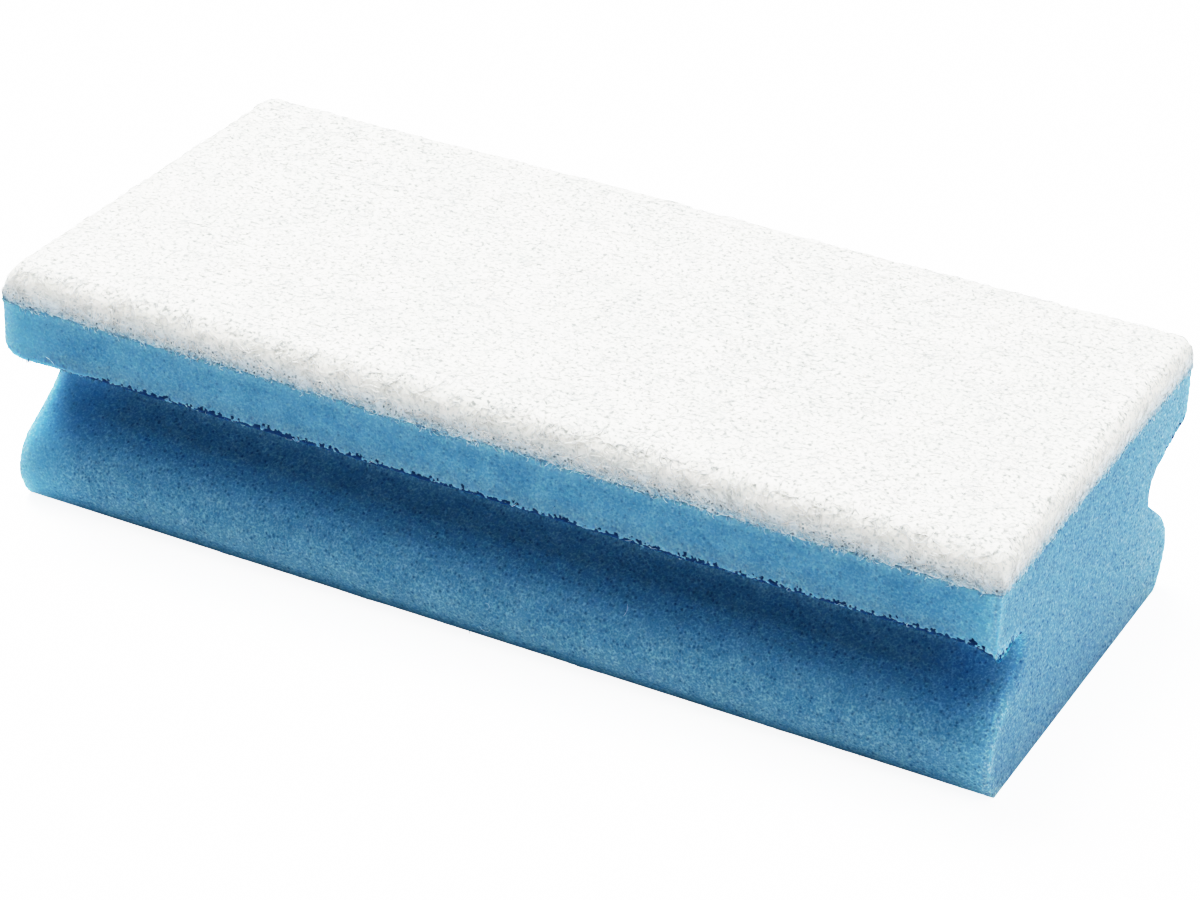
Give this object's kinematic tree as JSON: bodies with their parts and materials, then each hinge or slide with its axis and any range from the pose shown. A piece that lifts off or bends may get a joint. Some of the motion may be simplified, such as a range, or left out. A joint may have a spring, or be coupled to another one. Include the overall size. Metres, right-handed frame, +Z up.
{
  "type": "scouring sponge",
  "caption": "Hand cleaning sponge: blue open-cell foam block with a finger groove along each long side, and a white non-woven scouring pad bonded on top.",
  "frame": {"origin": "centre of the foam's flat base", "axes": "+X along the finger grooves, +Y across the sponge, +Z up from the foam's base to the scouring pad's face"},
  "size_m": [0.15, 0.07, 0.039],
  "materials": {
    "foam": "matte open-cell foam",
    "adhesive": "matte translucent film",
    "fleece": "matte non-woven fibre"
  },
  "bodies": {
    "root": {"foam_body": "foam", "adhesive_layer": "adhesive", "scouring_pad": "fleece"}
  },
  "joints": []
}
